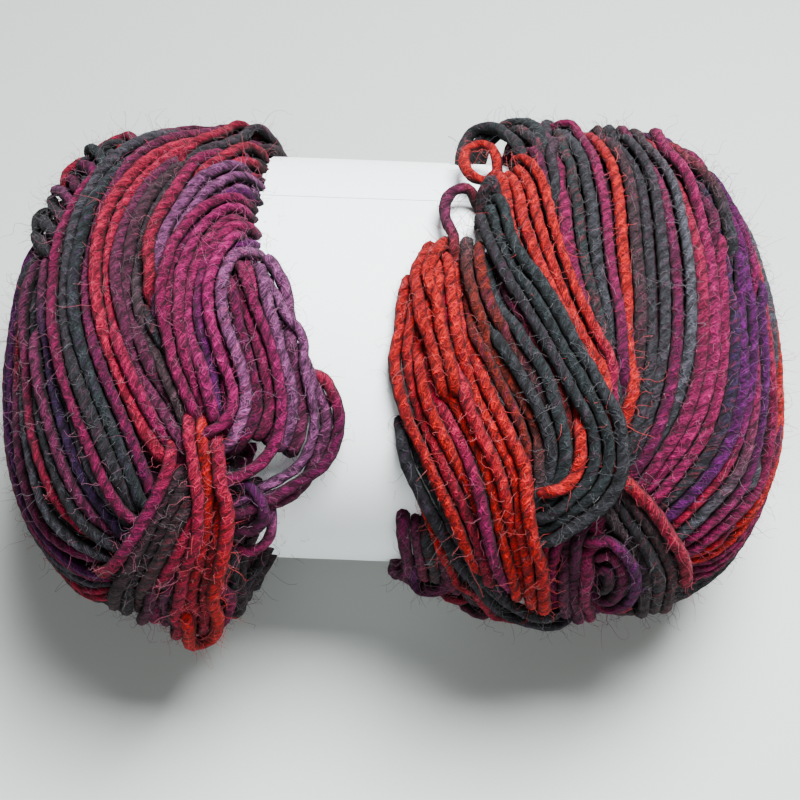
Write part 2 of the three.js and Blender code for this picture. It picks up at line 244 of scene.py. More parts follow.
# %% Left lobe
LEFT_LOBE = [
    ("left rim", 0.4, 24, 7,
     "charcoal; charcoal; teal>charcoal; lilac>plum; magenta>plum; plum; teal; teal; "
     "coral>orange; crimson>mauve; charcoal; mauve",
     [[(27, 234), (34, 240), (43, 249), (52, 260)],
      [(82, 148), (90, 157), (98, 167), (105, 178)],
      [(152, 124), (160, 129), (168, 135), (176, 143)]]),
    ("left outer arcs", 0.2, 5, 8,
     "orange>mauve>pink; mauve>ash>ash; mauve>crimson; charcoal; mauve; mauve>indigo>indigo; "
     "charcoal>ash",
     [[(28, 275), (17, 330), (12, 400), (16, 470), (34, 528), (65, 556), (104, 572)],
      [(54, 245), (46, 305), (52, 370), (68, 425), (86, 472), (104, 505), (124, 527)]]),
    ("left arcs", 1.0, 6, 6,
     "mauve>magenta>magenta; ash>charcoal; teal; mauve>plum",
     [[(250, 126), (165, 134), (88, 188), (54, 270), (56, 345), (82, 430), (132, 520)],
      [(256, 128), (165, 142), (106, 190), (83, 270), (92, 345), (122, 420), (144, 505)]]),
    ("left inner arcs", 1.0, 5, 6,
     "crimson>crimson>crimson; crimson>crimson>magenta; mauve>mauve; cocoa>mauve; charcoal>cocoa; "
     "charcoal>charcoal>ash",
     [[(262, 131), (165, 150), (112, 200), (97, 285), (117, 365), (152, 427), (194, 482)],
      [(274, 150), (205, 170), (160, 216), (148, 290), (171, 360), (190, 400), (202, 440)]]),
    ("left gather", 2.2, 5, 6,
     "crimson; charcoal; crimson",
     [[(268, 131), (236, 136), (206, 146), (184, 158)],
      [(270, 150), (240, 156), (214, 163), (194, 176)]]),
    ("left dark gap", 0, 4, 4,
     "charcoal; plum; cocoa",
     [[(190, 176), (172, 200), (160, 235), (156, 280), (166, 335), (186, 390)],
      [(212, 190), (196, 230), (188, 280), (188, 330), (198, 380), (206, 430)]]),
    ("left crossing", 2.8, 4, 6,
     "crimson>magenta>crimson",
     [[(98, 571), (116, 560), (136, 536), (154, 508), (166, 482), (172, 452)]]),
    ("left cocoa pair", 1.8, 12, 6,
     "cocoa; charcoal>cocoa; cocoa",
     [[(120, 600), (124, 575), (142, 545), (160, 515), (176, 492), (192, 470)],
      [(140, 606), (148, 580), (164, 552), (180, 524), (192, 500), (200, 478)]]),
    ("left tuft", 1.6, 12, 6,
     "mauve; magenta>crimson; mauve; ash>charcoal",
     [[(150, 618), (147, 592), (158, 568), (176, 540), (188, 515), (196, 495)],
      [(172, 622), (168, 600), (176, 576), (190, 550), (198, 525), (204, 505)]]),
    ("left drop", 3, 6, 12,
     "crimson; rose>crimson; rose>crimson",
     [[(196, 420), (203, 462), (203, 505), (190, 548), (182, 590), (180, 624)],
      [(204, 430), (213, 470), (212, 515), (204, 560), (199, 595), (196, 624)]]),
    ("left coral drop", 4.2, 6, 8,
     "crimson>rose>rose",
     [[(208, 440), (218, 486), (217, 525), (211, 560), (205, 582), (213, 604), (204, 626), (190, 622),
       (186, 606)]]),
    ("left curl under", 2.4, 5, 5,
     "magenta",
     [[(208, 574), (222, 580), (228, 596), (222, 612), (208, 622)]]),
    ("left dark folds", 1.4, 6, 14,
     "cocoa; charcoal; cocoa; charcoal; cocoa",
     [[(224, 488), (226, 525), (224, 560), (222, 592), (222, 622)],
      [(238, 500), (256, 530), (270, 556), (268, 580), (250, 604)]]),
]
print(len(LEFT_LOBE), "families on the left lobe")

# %% [markdown]
# ### The left fan
#
# The inner turns of this lobe have slipped over the paper's edge and hang there as open loops.
# They are their own piece, so that they can be looked at without the turns that they cover.

# %% Left fan, over the edge of the paper
LEFT_FAN = [
    ("left tucked", 1.2, 7, 6,
     "crimson; crimson>lilac; lilac",
     [[(267, 157), (244, 162), (216, 172), (196, 184)],
      [(256, 186), (238, 182), (220, 186), (200, 200)]]),
    ("left fan top", 2.2, 7, 8,
     "magenta>crimson; lilac; lilac; violet>magenta",
     [[(222, 158), (196, 170), (178, 196), (164, 226), (158, 262), (160, 300)],
      [(262, 190), (232, 194), (203, 214), (180, 240), (166, 275), (163, 315)]]),
    ("left fan", 3, 7, 8,
     "magenta; pink>magenta; magenta>pink; magenta>violet; violet>pink>pink",
     [[(254, 206), (212, 213), (174, 255), (164, 310), (174, 360), (194, 408)],
      [(252, 236), (226, 250), (210, 290), (210, 335), (224, 378), (222, 415)]]),
    ("left fan hook", 4.2, 6, 6,
     "pink>pink>magenta; lilac",
     [[(238, 244), (214, 275), (208, 325), (222, 365), (233, 400), (222, 426), (203, 436)],
      [(250, 250), (228, 285), (227, 330), (242, 368), (248, 405), (240, 434), (214, 447)]]),
    ("left fall", 4.0, 6, 6,
     "plum; magenta>magenta; magenta>plum; lilac; lilac>mauve",
     [[(232, 285), (238, 320), (252, 355), (258, 390), (254, 420), (236, 440)],
      [(256, 245), (268, 290), (282, 335), (296, 380), (300, 420), (284, 452)]]),
    ("left long loop", 4.8, 3, 6,
     "magenta>pink>magenta",
     [[(236, 262), (250, 312), (268, 352), (276, 392), (272, 430), (254, 460), (232, 470), (214, 480)]]),
    ("left outer loop", 4.0, 3, 6,
     "lilac; lilac>mauve",
     [[(258, 262), (275, 320), (300, 368), (315, 402), (318, 430), (305, 457), (280, 478), (254, 492),
       (236, 506)],
      [(262, 285), (282, 338), (304, 372), (322, 402), (324, 430), (310, 462), (284, 486), (258, 500),
       (238, 512)]]),
    ("left stray loop", 4.4, 6, 6,
     "crimson>plum>mauve",
     [[(292, 372), (313, 382), (331, 400), (337, 418), (328, 443), (308, 464), (280, 478), (256, 492),
       (238, 505)]]),
    ("left curls", 4.6, 5, 5,
     "violet>plum; lilac>magenta",
     [[(222, 478), (240, 478), (252, 488), (258, 502), (248, 516), (236, 520)],
      [(230, 516), (250, 502), (265, 510), (262, 528), (250, 540), (236, 545)]]),
]
print(len(LEFT_FAN), "families in the left fan")

# %% [markdown]
# ### The right lobe
#
# Its arcs are steeper and fill it evenly. At the lower edge they part round a small swirl, which
# is drawn as a guide that turns in on itself.

# %% Right lobe
RIGHT_LOBE = [
    ("right rim", 2.2, 2, 6,
     "teal; charcoal; teal",
     [[(463, 158), (478, 143), (503, 139), (524, 150), (537, 176)],
      [(474, 141), (492, 132), (516, 128), (534, 137), (546, 162)]]),
    ("right rim drop", 2.2, 8, 6,
     "crimson>mauve; mauve>charcoal",
     [[(517, 128), (528, 142), (537, 162), (544, 190)],
      [(532, 125), (540, 142), (546, 165), (550, 195)]]),
    ("right inner arcs", 0.8, 18, 6,
     "charcoal; crimson>magenta>charcoal; teal; ash>charcoal>ash; magenta>magenta>plum; "
     "crimson>rose>rose",
     [[(547, 124), (541, 160), (547, 205), (561, 262), (583, 320), (601, 370), (613, 420)],
      [(568, 124), (604, 146), (621, 200), (621, 260), (627, 315), (626, 370), (616, 428)]]),
    ("right arcs", 0.6, 20, 6,
     "cocoa; charcoal; charcoal; mauve>plum; cocoa>ash>charcoal; crimson>magenta; magenta",
     [[(600, 127), (628, 160), (637, 215), (639, 275), (640, 335), (638, 390), (618, 452)],
      [(668, 152), (694, 192), (709, 245), (717, 300), (712, 365), (690, 430), (645, 494)]]),
    ("right outer arcs", 0.2, 24, 6,
     "magenta; teal>indigo>charcoal; violet>violet; magenta>violet>crimson; violet>magenta>ash; "
     "ash>violet>magenta; crimson>magenta",
     [[(690, 170), (714, 212), (728, 262), (733, 322), (727, 383), (705, 445), (654, 505)],
      [(740, 220), (759, 270), (770, 330), (778, 390), (776, 446), (758, 502), (690, 562)]]),
    ("right top rim", 0.4, 20, 6,
     "mauve; crimson>charcoal; charcoal>violet>pink",
     [[(626, 132), (655, 146), (688, 172), (708, 206), (722, 240)],
      [(642, 138), (676, 150), (712, 184), (742, 238), (758, 292)]]),
    ("right crossing", 2.8, 4, 8,
     "coral>crimson>crimson",
     [[(612, 444), (622, 475), (642, 502), (662, 526), (680, 552), (684, 576)]]),
    ("right cocoa pair", 1.8, 4, 14,
     "cocoa; charcoal; cocoa",
     [[(600, 488), (618, 515), (634, 545), (644, 572), (646, 602)],
      [(618, 490), (642, 525), (662, 555), (672, 578), (664, 600)]]),
    ("right swirl", 2.2, 4, 4,
     "magenta>violet>magenta; magenta>plum; plum>charcoal",
     [[(575, 548), (600, 532), (624, 546), (636, 572), (628, 598), (602, 608), (584, 604)],
      [(590, 575), (598, 562), (608, 562), (613, 574), (606, 588), (597, 592), (591, 586)]]),
    ("right under folds", 1.4, 6, 14,
     "crimson; magenta; mauve; plum>mauve; magenta",
     [[(545, 520), (550, 548), (549, 576), (545, 600), (542, 622)],
      [(602, 512), (592, 530), (584, 556), (582, 585), (584, 614)]]),
    ("right tuft", 1.8, 6, 14,
     "plum; mauve>crimson; charcoal; mauve; cocoa",
     [[(416, 505), (412, 540), (413, 575), (418, 602), (424, 624)],
      [(440, 512), (458, 550), (474, 584), (486, 610), (494, 628)]]),
    ("right tuft curl", 2.6, 5, 5,
     "crimson",
     [[(420, 596), (422, 615), (438, 622), (458, 620), (470, 628)]]),
    ("purple patch", 1.8, 4, 16,
     "plum; violet>plum",
     [[(400, 560), (400, 575), (408, 590), (420, 602)],
      [(412, 556), (414, 574), (420, 592), (430, 606)]]),
]
print(len(RIGHT_LOBE), "families on the right lobe")

# %% [markdown]
# ### The right fan
#
# Two bundles, one bright and one dark, cross over the paper's edge. Single turns stand off at the
# top as rings, so they get a family each, with one guide and one blend.

# %% Right fan, over the edge of the paper
RIGHT_FAN = [
    ("coral ring", 4.6, 5, 6,
     "coral>orange",
     [[(508, 180), (500, 166), (486, 158), (471, 164), (466, 179), (473, 192), (487, 196), (502, 190)]]),
    ("coral top fan", 3.6, 6, 6,
     "orange; coral; coral>orange; orange>coral>magenta",
     [[(496, 166), (504, 195), (513, 235), (530, 275), (555, 320), (585, 360), (605, 422)],
      [(520, 162), (539, 190), (550, 235), (559, 275), (571, 310), (594, 352), (611, 432)]]),
    ("rust ring", 4.8, 5, 6,
     "rust>mauve>rust",
     [[(498, 200), (476, 197), (456, 201), (444, 214), (445, 232), (455, 250), (460, 270)]]),
    ("dark fan", 3.4, 8, 8,
     "rust; charcoal>rust>charcoal; teal>charcoal; rust>charcoal; teal; mauve>rust",
     [[(457, 232), (460, 268), (470, 312), (486, 352), (508, 388), (528, 430), (544, 478), (541, 505)],
      [(490, 238), (494, 275), (507, 312), (531, 348), (557, 385), (573, 425), (570, 464), (546, 494)]]),
    ("orange hook", 4, 5, 6,
     "orange",
     [[(566, 392), (576, 420), (580, 450), (572, 472), (556, 484), (541, 494)]]),
    ("teal hook", 4.8, 5, 8,
     "charcoal>teal; teal; teal>charcoal",
     [[(487, 206), (487, 232), (500, 262), (522, 300), (554, 350), (583, 405), (598, 447), (594, 476),
       (572, 494), (545, 508)],
      [(503, 190), (508, 222), (513, 258), (536, 297), (569, 347), (602, 405), (616, 455), (610, 487),
       (580, 506), (546, 526)]]),
    ("teal head", 5, 4, 4,
     "charcoal",
     [[(488, 214), (485, 200), (492, 190), (501, 192), (508, 204)]]),
    ("coral fan", 4.2, 8, 8,
     "coral; coral>crimson; orange; coral>pink; coral>orange; crimson>coral; orange>coral; "
     "orange>orange>coral",
     [[(428, 268), (411, 330), (402, 382), (415, 424), (440, 465), (465, 508), (494, 560)],
      [(456, 246), (453, 300), (470, 358), (504, 418), (533, 474), (538, 530), (540, 592)]]),
    ("coral fan edge", 5, 6, 6,
     "orange>coral; coral",
     [[(452, 238), (430, 262), (417, 288), (424, 322), (438, 360), (452, 400)],
      [(458, 236), (440, 264), (434, 292), (440, 326), (452, 362), (468, 400)]]),
    ("charcoal bundle", 3.8, 8, 10,
     "charcoal; teal; charcoal",
     [[(404, 410), (411, 452), (428, 487), (450, 527), (478, 570), (508, 601), (540, 609)],
      [(420, 424), (440, 460), (459, 495), (477, 530), (498, 560), (520, 585), (545, 600)]]),
    ("coral under edge", 3, 6, 10,
     "coral>crimson",
     [[(417, 476), (430, 506), (450, 542), (470, 574), (493, 600), (522, 615)]]),
]
print(len(RIGHT_FAN), "families in the right fan")

# %% [markdown]
# ## From a route to a run
#
# A Catmull-Rom curve passes through every point it is given, so a route of five or six points is
# enough. A Bezier curve would need handles as well. Sampling it evenly by arc length keeps the
# rings of the yarn at one spacing later on.

# %% Curves through points
SAMPLES_BETWEEN = 16


def gaps(points):
    """How far each point of a path is from the next."""
    return np.linalg.norm(np.diff(points, axis=0), axis=1)


def even(points, count):
    """The same polyline with evenly spaced points."""
    lengths = np.r_[0, np.cumsum(gaps(points))]
    at = np.linspace(0, lengths[-1], count)
    return np.stack([np.interp(at, lengths, column) for column in points.T], -1)


def through(guide, count=48):
    """A smooth curve through the guide's points."""
    p = np.array(guide, float)
    p = np.vstack([2 * p[0] - p[1], p, 2 * p[-1] - p[-2]])
    t = np.linspace(0, 1, SAMPLES_BETWEEN, endpoint=False)[:, None]
    pieces = []
    for a, b, c, d in zip(p, p[1:], p[2:], p[3:]):
        pieces.append(0.5 * (2 * b + (c - a) * t + (2 * a - 5 * b + 4 * c - d) * t**2
                             + (3 * b - a - 3 * c + d) * t**3))
    return even(np.vstack(pieces + [p[-2:-1]]), count)


def walk(path, distance, pace=1.0):
    """Goes on from the end of a path, straight ahead over the form."""
    here, ahead = path[-1], unit(path[-1] - path[-3])
    more = []
    for _ in range(int(distance / pace)):
        step = settle((here + ahead * pace)[None], rounds=3)[0]
        ahead = unit(step - here)
        here = step
        more.append(here)
    return np.vstack([path] + more) if more else path


def ease(x):
    x = np.clip(x, 0, 1)
    return x * x * (3 - 2 * x)


demo = through([(0, 0), (10, 5), (20, 0)])
print("a guide of 3 points becomes", len(demo), "points")

# %% [markdown]
# ## Laying every run
#
# The runs of a family lie evenly between its guides. Both ends of a run dive under their
# neighbours, and a slow random sway keeps the family from looking combed. A run that reaches the
# paper's edge goes wholly over it or wholly under it, since a strand can't pass through.

# %% Lay the runs
PIECES = {
    "left_lobe_yarn": LEFT_LOBE,
    "left_fan_yarn": LEFT_FAN,
    "right_lobe_yarn": RIGHT_LOBE,
    "right_fan_yarn": RIGHT_FAN,
}
FEWEST = 8
DIVE = 7.0
OVER_PAPER = 1.7
EDGE_WIDTH = 4.0
SWAY = 0.35
RISE_AND_FALL = 0.35
BELOW_PAPER = STRAND / 2 + PAPER
ABOVE_PAPER = STRAND / 2 + 0.15
CLEARANCE = 0.3


def sway(count, waves=4, strength=0.6):
    """A slow random wave along a run, about -1 to 1."""
    s = np.linspace(0, 1, count)
    return sum(rng.normal() * np.sin(2 * math.pi * (k * s + rng.random())) / k
               for k in range(1, waves + 1)) * strength


def beside_paper(path, height, over, s, length, before):
    """A run that crosses the paper's edge goes either wholly over the paper or wholly under it."""
    edge = np.abs(to_band(path)[:, 0]) - BAND["half"][0]
    near = ease(1 - edge / EDGE_WIDTH)
    under = np.minimum(height, -BELOW_PAPER - CLEARANCE)
    if not over:
        return height + (under - height) * near
    above = np.maximum(height, ABOVE_PAPER)
    middle = ease((s - before - 1) / EDGE_WIDTH) * ease((length - s - 2) / EDGE_WIDTH)
    return height + (under + (above - under) * middle - height) * near


def place_between(curves, t):
    """The curve a share t of the way through the family's guides."""
    t *= len(curves) - 1
    k = min(int(t), max(len(curves) - 2, 0))
    return curves[0] if len(curves) == 1 else curves[k] * (1 - t + k) + curves[k + 1] * (t - k)


def parted(blends):
    """The blends as lists of names: "a; b>c" gives ["a"] and ["b", "c"]."""
    return [blend.split(">") for blend in blends.split("; ")]


def lay(family):
    """All the runs of one row of the tables."""
    name, lift, before, after, blends, guides = family
    curves = [through(on_plane(guide)) for guide in guides]
    blends = parted(blends)
    over = lift > OVER_PAPER
    runs = []
    for i, blend in enumerate(blends):
        sight = place_between(curves, i / (len(blends) - 1) if len(blends) > 1 else 0.5)
        path = walk(drop(sight), after)
        path = walk(path[::-1], before)[::-1]
        length = gaps(path).sum()
        path = settle(even(path, max(int(length / STEP), FEWEST)), rounds=3)
        s = np.linspace(0, length, len(path))
        height = lift - STRAND / 2 + RISE_AND_FALL * sway(len(path), 3)
        height -= (SINK + lift) * (1 - ease(np.minimum(s, length - s) / DIVE))
        height = beside_paper(path, height, over, s, length, before)
        side = unit(np.cross(outward(path), np.gradient(path, axis=0)))
        path = path + side * (SWAY * sway(len(path)))[:, None]
        runs.append({"family": name, "blend": blend, "path": path, "height": height, "over": over})
    return runs


runs = []
for piece, families in PIECES.items():
    for family in families:
        for run in lay(family):
            run["piece"] = piece
            runs.append(run)
print(len(runs), "runs from the tables")

# %% [markdown]
# ## Filling in what the tables leave bare
#
# The ends, the back and the underside follow the way a hank is wound: every turn runs from the
# back of a lobe to its front, like a line of longitude. Bundles of turns lean a little one way or
# the other. A turn is laid only where no run lies yet, so the turns thin out where they meet, and
# later passes with other poles fill the gaps that are left. Tables for sides that are seldom seen
# would be long, and a rule does the same.

# %% Fill the bare places
TURN_ANGLE = 160
FILL_PASSES = [
    {"pole": 17.0, "lean": 9.0, "phase": 0.0},
    {"pole": 17.0, "lean": 0.0, "phase": 0.5},
    {"pole": 2.0, "lean": 4.0, "phase": 0.25},
    {"pole": 24.0, "lean": 0.0, "phase": 0.75},
    {"pole": 10.0, "lean": 0.0, "phase": 0.5},
]
TIGHTNESS = 0.97
SMALLEST_BUNDLE, LARGEST_BUNDLE = 5, 8
SAME_BLEND = 3
ROOM = 0.70
SHORTEST = 10.0
TURN_LIFT = 0.1
TURN_SINK = SINK * 0.6
TURN_DIVE = 4.0
BAND_OVERLAP = 2.0
FILL_BLENDS = {
    "left": "charcoal>plum; magenta; cocoa>mauve; teal; plum>crimson; charcoal>ash; mauve>magenta; violet",
    "right": "magenta>violet; charcoal; crimson>magenta; cocoa; teal>charcoal; magenta; plum>coral; ash",
}


def cast(centre, directions, depth=0.0, reach=150.0, halvings=24):
    """Where the directions from a centre meet the level that lies that deep under the form."""
    near, far = np.zeros(len(directions)), np.full(len(directions), reach)
    for _ in range(halvings):
        middle = (near + far) / 2
        inside = outside(centre + directions * middle[:, None]) < -depth
        near, far = np.where(inside, middle, near), np.where(inside, far, middle)
    return centre + directions * near[:, None]


def turn_path(lobe, outward_x, pole, angle, lean):
    """One turn, from the back of the lobe to its front."""
    s = np.radians(np.linspace(2, 178, 100))
    around = math.radians(angle) + math.radians(lean) * np.cos(s)
    directions = np.stack([np.sin(s) * np.cos(around) * outward_x, np.cos(s),
                           np.sin(s) * np.sin(around)], -1)
    path = cast(np.array(lobe["centre"]) - (pole * outward_x, 0, 0), directions)
    return settle(even(path, int(gaps(path).sum() / STEP)), rounds=2)


def near_tree(points):
    tree = kdtree.KDTree(len(points))
    for i, p in enumerate(points):
        tree.insert(p, i)
    tree.balance()
    return tree


def stretches(free):
    """First and last places of each unbroken stretch of free points."""
    marks = np.flatnonzero(np.diff(np.r_[False, free, False].astype(int)))
    return zip(marks[::2], marks[1::2])


def lay_free(path, side, blend):
    """Lays the stretches of a turn where no run lies yet, and counts them."""
    tree = near_tree(np.vstack(laid[side]))
    free = np.array([tree.find(p)[2] > STRAND * ROOM for p in path])
    free &= np.abs(to_band(path)[:, 0]) > BAND["half"][0] - BAND_OVERLAP
    pieces = [path[a:b] for a, b in stretches(free) if (b - a) * STEP >= SHORTEST]
    for piece in pieces:
        s = np.arange(len(piece)) * STEP
        height = TURN_LIFT - STRAND / 2 + RISE_AND_FALL * sway(len(piece), 3)
        height -= TURN_SINK * (1 - ease(np.minimum(s, s[-1] - s) / TURN_DIVE))
        height = beside_paper(piece, height, False, s, s[-1], 0)
        runs.append({"family": side + " turns", "blend": blend, "path": piece, "height": height,
                     "piece": side + "_turns", "over": False})
        laid[side].append(piece)
    return len(pieces)


def fill(side, lobe, blends):
    """Passes of turns over one lobe, in bundles, and how many stretches were laid."""
    outward_x = -1 if side == "left" else 1
    blends = parted(blends)
    pitch = math.degrees(STRAND * TIGHTNESS / lobe["half"][2])
    count = 0
    for step in FILL_PASSES:
        lean, left_in_bundle = 0.0, 0
        for k, angle in enumerate(np.arange(-TURN_ANGLE, TURN_ANGLE, pitch) + step["phase"] * pitch):
            if left_in_bundle == 0:
                lean = rng.normal() * step["lean"]
                left_in_bundle = int(rng.integers(SMALLEST_BUNDLE, LARGEST_BUNDLE + 1))
            left_in_bundle -= 1
            path = turn_path(lobe, outward_x, step["pole"], angle, lean)
            count += lay_free(path, side, blends[(k // SAME_BLEND) % len(blends)])
    return count


laid = {side: [settle(run["path"], rounds=3) for run in runs] for side in FILL_BLENDS}
for (side, blends), lobe in zip(FILL_BLENDS.items(), LOBES):
    print(side, fill(side, lobe, blends), "turns laid where the lobe was bare")
PIECE_NAMES = list(dict.fromkeys(run["piece"] for run in runs))

total = sum(gaps(run["path"]).sum() for run in runs)
print(len(runs), "runs,", round(total / 1000, 2), "m of yarn")

# %% [markdown]
# ## Letting the runs find their places
#
# Where families meet or cross, their runs would pass through each other. So each point is pushed
# off every point of another run that is nearer than a strand's thickness, is pulled gently back
# towards its own place, and is smoothed along its run. A cloth or rope simulation would do this
# too, but slowly, and it would let the whole hank sag. A k-d tree finds the neighbours once.

# %% Push the runs apart
REACH = STRAND * 1.5
ROUNDS = 22
CLOSEST = STRAND * 0.93
EAGER = 1.6
HOMEWARD = 0.05
SAG = 0.5
SMOOTHING = 0.4
LEAST_CLEARANCE = 0.1
FLOOR = STRAND / 2 + LEAST_CLEARANCE

at = np.vstack([settle(run["path"], run["height"], 4) for run in runs])
home = at.copy()
height = np.concatenate([run["height"] for run in runs])
owner = np.concatenate([np.full(len(run["path"]), i) for i, run in enumerate(runs)])
in_band = np.abs(to_band(home)[:, 0]) < BAND["half"][0] + 1
over = np.concatenate([np.full(len(run["path"]), run["over"]) for run in runs])
over &= height > 0
ceiling = np.where(in_band & ~over, -BELOW_PAPER - LEAST_CLEARANCE, np.inf)
shelf = np.where(in_band & over, ABOVE_PAPER, -np.inf)
inner = np.r_[False, (owner[1:-1] == owner[:-2]) & (owner[1:-1] == owner[2:]), False]

tree = near_tree(at)
pairs = []
for i, p in enumerate(at):
    pairs.extend((i, j) for _, j, _ in tree.find_range(p, REACH) if j > i and owner[j] != owner[i])
first, second = np.array(pairs).T
print(len(pairs), "pairs of near points")


def thickness_apart(points):
    """How far each point should move so that no two strands share a place."""
    gap = points[second] - points[first]
    distance = np.linalg.norm(gap, axis=1)
    press = np.maximum(CLOSEST - distance, 0) / np.maximum(distance, 1e-6) * 0.5
    push = np.zeros_like(points)
    weight = np.zeros(len(points))
    np.add.at(push, first, -gap * press[:, None])
    np.add.at(push, second, gap * press[:, None])
    np.add.at(weight, first, press > 0)
    np.add.at(weight, second, press > 0)
    return push / np.maximum(weight, 1)[:, None] * EAGER


def off_paper(points):
    """Height over the paper's own surface, and the way straight off it."""
    _, y, z = to_band(points).T
    away = points - BAND["centre"]
    away[:, 0] = 0
    radius = np.linalg.norm(away, axis=1)
    return radius * (1 - drum(y, z) ** (-1 / BAND_POWER)), unit(away)


for turn in range(ROUNDS):
    at = at + thickness_apart(at)
    at = at + (home - at) * HOMEWARD
    level = outside(at)
    at = at + outward(at) * np.maximum(height - SAG - level, 0)[:, None] * 0.5
    level, away = off_paper(at)
    at = at + away * (np.clip(level, shelf, ceiling) - level)[:, None]
    middle = (np.roll(at, 1, 0) + np.roll(at, -1, 0)) / 2
    at[inner] = at[inner] * (1 - SMOOTHING) + middle[inner] * SMOOTHING
    at[:, 2] = np.maximum(at[:, 2], FLOOR)
for i, run in enumerate(runs):
    run["path"] = at[owner == i]
print("moved by up to", np.linalg.norm(at - home, axis=1).max().round(1), "mm")

# %% [markdown]
# ## What each point knows
#
# Every point of a run carries its colour, its distance along the run, the turn of the plies and
# a thickness that wanders, because hand-dyed wool is spun thick and thin. One material can then
# serve every run. A material for each blend would give hundreds of them, and none could fade from
# one blend to the next.

# %% Attributes of the runs
HEATHER = ["charcoal", "cocoa", "magenta", "plum", "mauve", "crimson", "violet"]
UNEVEN_DYE, DYE_WAVE = 0.10, 0.08
UNEVEN_SPIN, SPIN_WAVE = 0.06, 0.09
UNEVEN_TWIST = 0.1
HOLD = 0.2


def colour_along(blend, count):
    """Linear RGB at each point, easing from one blend to the next."""
    stops = np.array([PALETTE[name] for name in blend])
    if len(stops) == 1:
        return np.repeat(stops, count, 0)
    t = np.linspace(0, len(stops) - 1, count)
    k = np.minimum(t.astype(int), len(stops) - 2)
    f = ease((t - k - HOLD) / (1 - 2 * HOLD))[:, None]
    return stops[k] * (1 - f) + stops[k + 1] * f


for run in runs:
    path = run["path"]
    s = np.r_[0, np.cumsum(gaps(path))]
    shade = 1 + UNEVEN_DYE * rng.normal() + DYE_WAVE * sway(len(path))
    run["tint"] = np.clip(colour_along(run["blend"], len(path)) * shade[:, None], 0.002, 0.95)
    heather = PALETTE[rng.choice(HEATHER)]
    run["second"] = heather * 0.5 + run["tint"] * 0.5
    run["along"] = s
    run["turn"] = 2 * math.pi * (s / (PLY_PITCH * (1 + UNEVEN_TWIST * rng.normal())) + rng.random())
    thick = 1 + UNEVEN_SPIN * rng.normal() + SPIN_WAVE * sway(len(path), 6)
    run["thick"] = np.clip(thick, 0.8, 1.2)
print("first run:", runs[0]["family"], runs[0]["blend"], round(runs[0]["along"][-1]), "mm")

# %% [markdown]
# ## A small kit for node trees
#
# Shader trees and Geometry Nodes trees are both made of nodes, sockets and links. `add` makes any
# node, sets its settings first, since they decide which sockets it has, and then fills its
# sockets with values or links. A `Value` is an output socket that Python can reckon with: each
# operator adds a Math node, so `1 - mask` works as it reads.

# %% Node kit
def pick(sockets, key):
    """The enabled socket of that name, or the socket at that place."""
    if isinstance(key, int):
        return sockets[key]
    return next(socket for socket in sockets if socket.name == key and socket.enabled)


def plug(tree, socket, value):
    if isinstance(value, Value):
        tree.links.new(value.socket, socket)
    else:
        socket.default_value = value


class Value:
    """An output socket, with operators that add Math nodes."""

    def __init__(self, node, key=0):
        self.tree = node.id_data
        self.socket = pick(node.outputs, key)

    def __add__(self, other):
        return reckon("ADD", self, other)

    def __sub__(self, other):
        return reckon("SUBTRACT", self, other)

    def __rsub__(self, other):
        return reckon("SUBTRACT", other, self)

    def __mul__(self, other):
        return reckon("MULTIPLY", self, other)

    def __pow__(self, other):
        return reckon("POWER", self, other)

    __radd__ = __add__
    __rmul__ = __mul__


def reckon(operation, *terms):
    """A Math node on values and numbers."""
    tree = next(term.tree for term in terms if isinstance(term, Value))
    node = tree.nodes.new("ShaderNodeMath")
    node.operation = operation
    for socket, term in zip(node.inputs, terms):
        plug(tree, socket, term)
    return Value(node)


def add(tree, kind, settings=None, inputs=None):
    """A node of any other kind."""
    node = tree.nodes.new(kind)
    for name, value in (settings or {}).items():
        setattr(node, name, value)
    for key, value in (inputs or {}).items():
        plug(tree, pick(node.inputs, key), value)
    return node


def result(tree, kind, settings=None, inputs=None, key=0):
    """The first output of a new node, or the one of that name."""
    return Value(add(tree, kind, settings, inputs), key)


def between(x, low, high):
    """0 below low, 1 above high, and smooth between them."""
    return result(x.tree, "ShaderNodeMapRange", {"interpolation_type": "SMOOTHSTEP"},
                  {"Value": x, "From Min": low, "From Max": high})


def scaled(colour, factor):
    """A colour or vector times a value, by Vector Math."""
    return result(colour.tree, "ShaderNodeVectorMath", {"operation": "SCALE"},
                  {"Vector": colour, "Scale": factor})


def blended(tree, factor, a, b):
    """Two colours through a Mix node."""
    return result(tree, "ShaderNodeMix", {"data_type": "RGBA"},
                  {"Factor": factor, "A": a, "B": b}, "Result")


def noise(tree, at, scale, detail=2.0, roughness=0.5):
    """Cloudy values about 0.5."""
    return result(tree, "ShaderNodeTexNoise", None,
                  {"Vector": at, "Scale": scale, "Detail": detail, "Roughness": roughness})


def vector(tree, x, y, z):
    return result(tree, "ShaderNodeCombineXYZ", None, {"X": x, "Y": y, "Z": z})


def own(tree, name, output):
    """An attribute that the piece itself carries, in a shader."""
    return result(tree, "ShaderNodeAttribute", {"attribute_name": name}, key=output)


def in_object(tree):
    """A point's place in the piece's own axes, in a shader."""
    return result(tree, "ShaderNodeTexCoord", key="Object")


print("node kit ready")

# %% [markdown]
# ## Geometry Nodes as a workshop
#
# `workshop` starts a tree with named inputs. `worked` runs it on an object once: it adds the
# modifier, fills its inputs by their identifiers, takes the finished mesh out of the evaluated
# object and removes the modifier again, so what is left is a plain mesh.

# %% Workshop
def linked(name, data):
    """A new object in the scene, with that mesh, light or camera."""
    piece = bpy.data.objects.new(name, data)
    bpy.context.scene.collection.objects.link(piece)
    return piece


KINDS = {float: "NodeSocketFloat", int: "NodeSocketInt", "material": "NodeSocketMaterial"}


